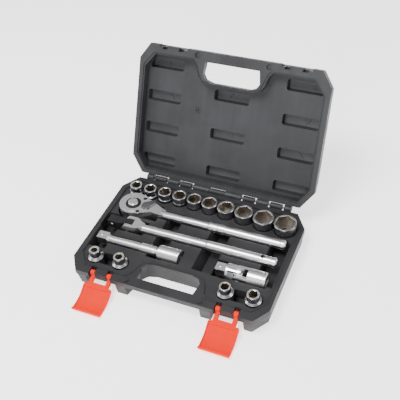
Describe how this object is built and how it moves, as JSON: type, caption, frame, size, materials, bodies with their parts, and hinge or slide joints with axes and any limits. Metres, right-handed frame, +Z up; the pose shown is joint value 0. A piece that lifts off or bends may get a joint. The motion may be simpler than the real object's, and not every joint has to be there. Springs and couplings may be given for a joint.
{
  "type": "socket wrench set in case",
  "caption": "Half-inch drive socket wrench set with ratchet, flex handle, extension bar, universal joint and sockets in a hinged carry case with latches.",
  "frame": {"origin": "middle of the tray's flat underside", "axes": "+X along the lid's hinge, towards the grip end of the ratchet; +Y from the carry handle towards the hinge; +Z up"},
  "size_m": [0.283, 0.3667, 0.2044],
  "materials": {
    "case": "fine moulded texture",
    "latch": "smooth moulded",
    "rod": "drawn",
    "chrome": "satin chrome",
    "black_steel": "black oxide",
    "spring_steel": "bright wire"
  },
  "bodies": {
    "tray": {"tray": "case", "hinge_rod": "rod"},
    "lid": {"lid": "case"},
    "latch_left": {"latch_left": "latch"},
    "latch_right": {"latch_right": "latch"},
    "socket_12mm": {"socket_12mm": "chrome"},
    "socket_13mm": {"socket_13mm": "chrome"},
    "socket_14mm": {"socket_14mm": "chrome"},
    "socket_15mm": {"socket_15mm": "chrome"},
    "socket_16mm": {"socket_16mm": "chrome"},
    "socket_17mm": {"socket_17mm": "chrome"},
    "socket_18mm": {"socket_18mm": "chrome"},
    "socket_19mm": {"socket_19mm": "chrome"},
    "socket_22mm": {"socket_22mm": "chrome"},
    "socket_24mm": {"socket_24mm": "chrome"},
    "socket_8mm": {"socket_8mm": "chrome"},
    "socket_9mm": {"socket_9mm": "chrome"},
    "socket_10mm": {"socket_10mm": "chrome"},
    "socket_11mm": {"socket_11mm": "chrome"},
    "ratchet": {"ratchet_body": "chrome", "ratchet_cover": "chrome", "ratchet_screws": "chrome"},
    "ratchet_drive": {"ratchet_drive": "black_steel", "ratchet_ball": "chrome", "ratchet_spring": "spring_steel"},
    "ratchet_button": {"ratchet_button": "chrome"},
    "ratchet_lever": {"ratchet_lever": "black_steel", "ratchet_pawl": "spring_steel"},
    "flex_handle": {"flex_bar": "chrome", "flex_pin": "chrome"},
    "flex_head": {"flex_head": "black_steel", "flex_ball": "chrome", "flex_spring": "spring_steel"},
    "extension": {"extension_bar": "chrome", "extension_ball": "chrome", "extension_spring": "spring_steel"},
    "joint_socket_end": {"joint_socket_yoke": "chrome"},
    "joint_cross": {"joint_block": "chrome", "joint_pins": "chrome"},
    "joint_drive_end": {"joint_drive_yoke": "chrome", "joint_ball": "chrome", "joint_spring": "spring_steel"}
  },
  "joints": [
    {"name": "lid_hinge", "type": "hinge", "parent": "tray", "child": "lid", "pos_m": [0, 0.1015, 0.028], "axis": [-1, 0, 0], "range_deg": [-117, 0]},
    {"name": "latch_left_pivot", "type": "hinge", "parent": "tray", "child": "latch_left", "pos_m": [-0.0905, -0.0895, 0.024], "axis": [1, 0, 0], "range_deg": [-105, 0]},
    {"name": "latch_right_pivot", "type": "hinge", "parent": "tray", "child": "latch_right", "pos_m": [0.0905, -0.0895, 0.024], "axis": [1, 0, 0], "range_deg": [-105, 0]},
    {"name": "socket_12mm_lift", "type": "slide", "parent": "tray", "child": "socket_12mm", "axis": [0, 0, 1], "range_m": [0, 0.05]},
    {"name": "socket_13mm_lift", "type": "slide", "parent": "tray", "child": "socket_13mm", "axis": [0, 0, 1], "range_m": [0, 0.05]},
    {"name": "socket_14mm_lift", "type": "slide", "parent": "tray", "child": "socket_14mm", "axis": [0, 0, 1], "range_m": [0, 0.05]},
    {"name": "socket_15mm_lift", "type": "slide", "parent": "tray", "child": "socket_15mm", "axis": [0, 0, 1], "range_m": [0, 0.05]},
    {"name": "socket_16mm_lift", "type": "slide", "parent": "tray", "child": "socket_16mm", "axis": [0, 0, 1], "range_m": [0, 0.05]},
    {"name": "socket_17mm_lift", "type": "slide", "parent": "tray", "child": "socket_17mm", "axis": [0, 0, 1], "range_m": [0, 0.05]},
    {"name": "socket_18mm_lift", "type": "slide", "parent": "tray", "child": "socket_18mm", "axis": [0, 0, 1], "range_m": [0, 0.05]},
    {"name": "socket_19mm_lift", "type": "slide", "parent": "tray", "child": "socket_19mm", "axis": [0, 0, 1], "range_m": [0, 0.05]},
    {"name": "socket_22mm_lift", "type": "slide", "parent": "tray", "child": "socket_22mm", "axis": [0, 0, 1], "range_m": [0, 0.05]},
    {"name": "socket_24mm_lift", "type": "slide", "parent": "tray", "child": "socket_24mm", "axis": [0, 0, 1], "range_m": [0, 0.05]},
    {"name": "socket_8mm_lift", "type": "slide", "parent": "tray", "child": "socket_8mm", "axis": [0, 0, 1], "range_m": [0, 0.05]},
    {"name": "socket_9mm_lift", "type": "slide", "parent": "tray", "child": "socket_9mm", "axis": [0, 0, 1], "range_m": [0, 0.05]},
    {"name": "socket_10mm_lift", "type": "slide", "parent": "tray", "child": "socket_10mm", "axis": [0, 0, 1], "range_m": [0, 0.05]},
    {"name": "socket_11mm_lift", "type": "slide", "parent": "tray", "child": "socket_11mm", "axis": [0, 0, 1], "range_m": [0, 0.05]},
    {"name": "ratchet_lift", "type": "slide", "parent": "tray", "child": "ratchet", "axis": [0, 0, 1], "range_m": [0, 0.06]},
    {"name": "ratchet_drive_turn", "type": "hinge", "parent": "ratchet", "child": "ratchet_drive", "pos_m": [-0.103, 0.035, 0.0275], "axis": [0, 0, 1], "continuous": true},
    {"name": "ratchet_button_push", "type": "slide", "parent": "ratchet_drive", "child": "ratchet_button", "axis": [0, 0, 1], "range_m": [-0.002, 0], "stiffness_N_per_m": 300, "springref_m": 0.003, "deforming": ["ratchet_spring"]},
    {"name": "ratchet_lever_turn", "type": "hinge", "parent": "ratchet", "child": "ratchet_lever", "pos_m": [-0.082, 0.035, 0.03], "axis": [0, 0, 1], "range_deg": [-100, 0]},
    {"name": "flex_handle_lift", "type": "slide", "parent": "tray", "child": "flex_handle", "axis": [0, 0, 1], "range_m": [0, 0.06]},
    {"name": "flex_head_swing", "type": "hinge", "parent": "flex_handle", "child": "flex_head", "pos_m": [-0.094, 0.0015, 0.0275], "axis": [0, 1, 0], "range_deg": [0, 90]},
    {"name": "extension_lift", "type": "slide", "parent": "tray", "child": "extension", "axis": [0, 0, 1], "range_m": [0, 0.06]},
    {"name": "joint_lift", "type": "slide", "parent": "tray", "child": "joint_socket_end", "axis": [0, 0, 1], "range_m": [0, 0.06]},
    {"name": "joint_cross_swing", "type": "hinge", "parent": "joint_socket_end", "child": "joint_cross", "pos_m": [0.084, -0.0305, 0.026], "axis": [0, 1, 0], "range_deg": [0, 45]},
    {"name": "joint_drive_swing", "type": "hinge", "parent": "joint_cross", "child": "joint_drive_end", "pos_m": [0.084, -0.0305, 0.026], "axis": [0, 0, 1], "range_deg": [-8, 8]}
  ]
}
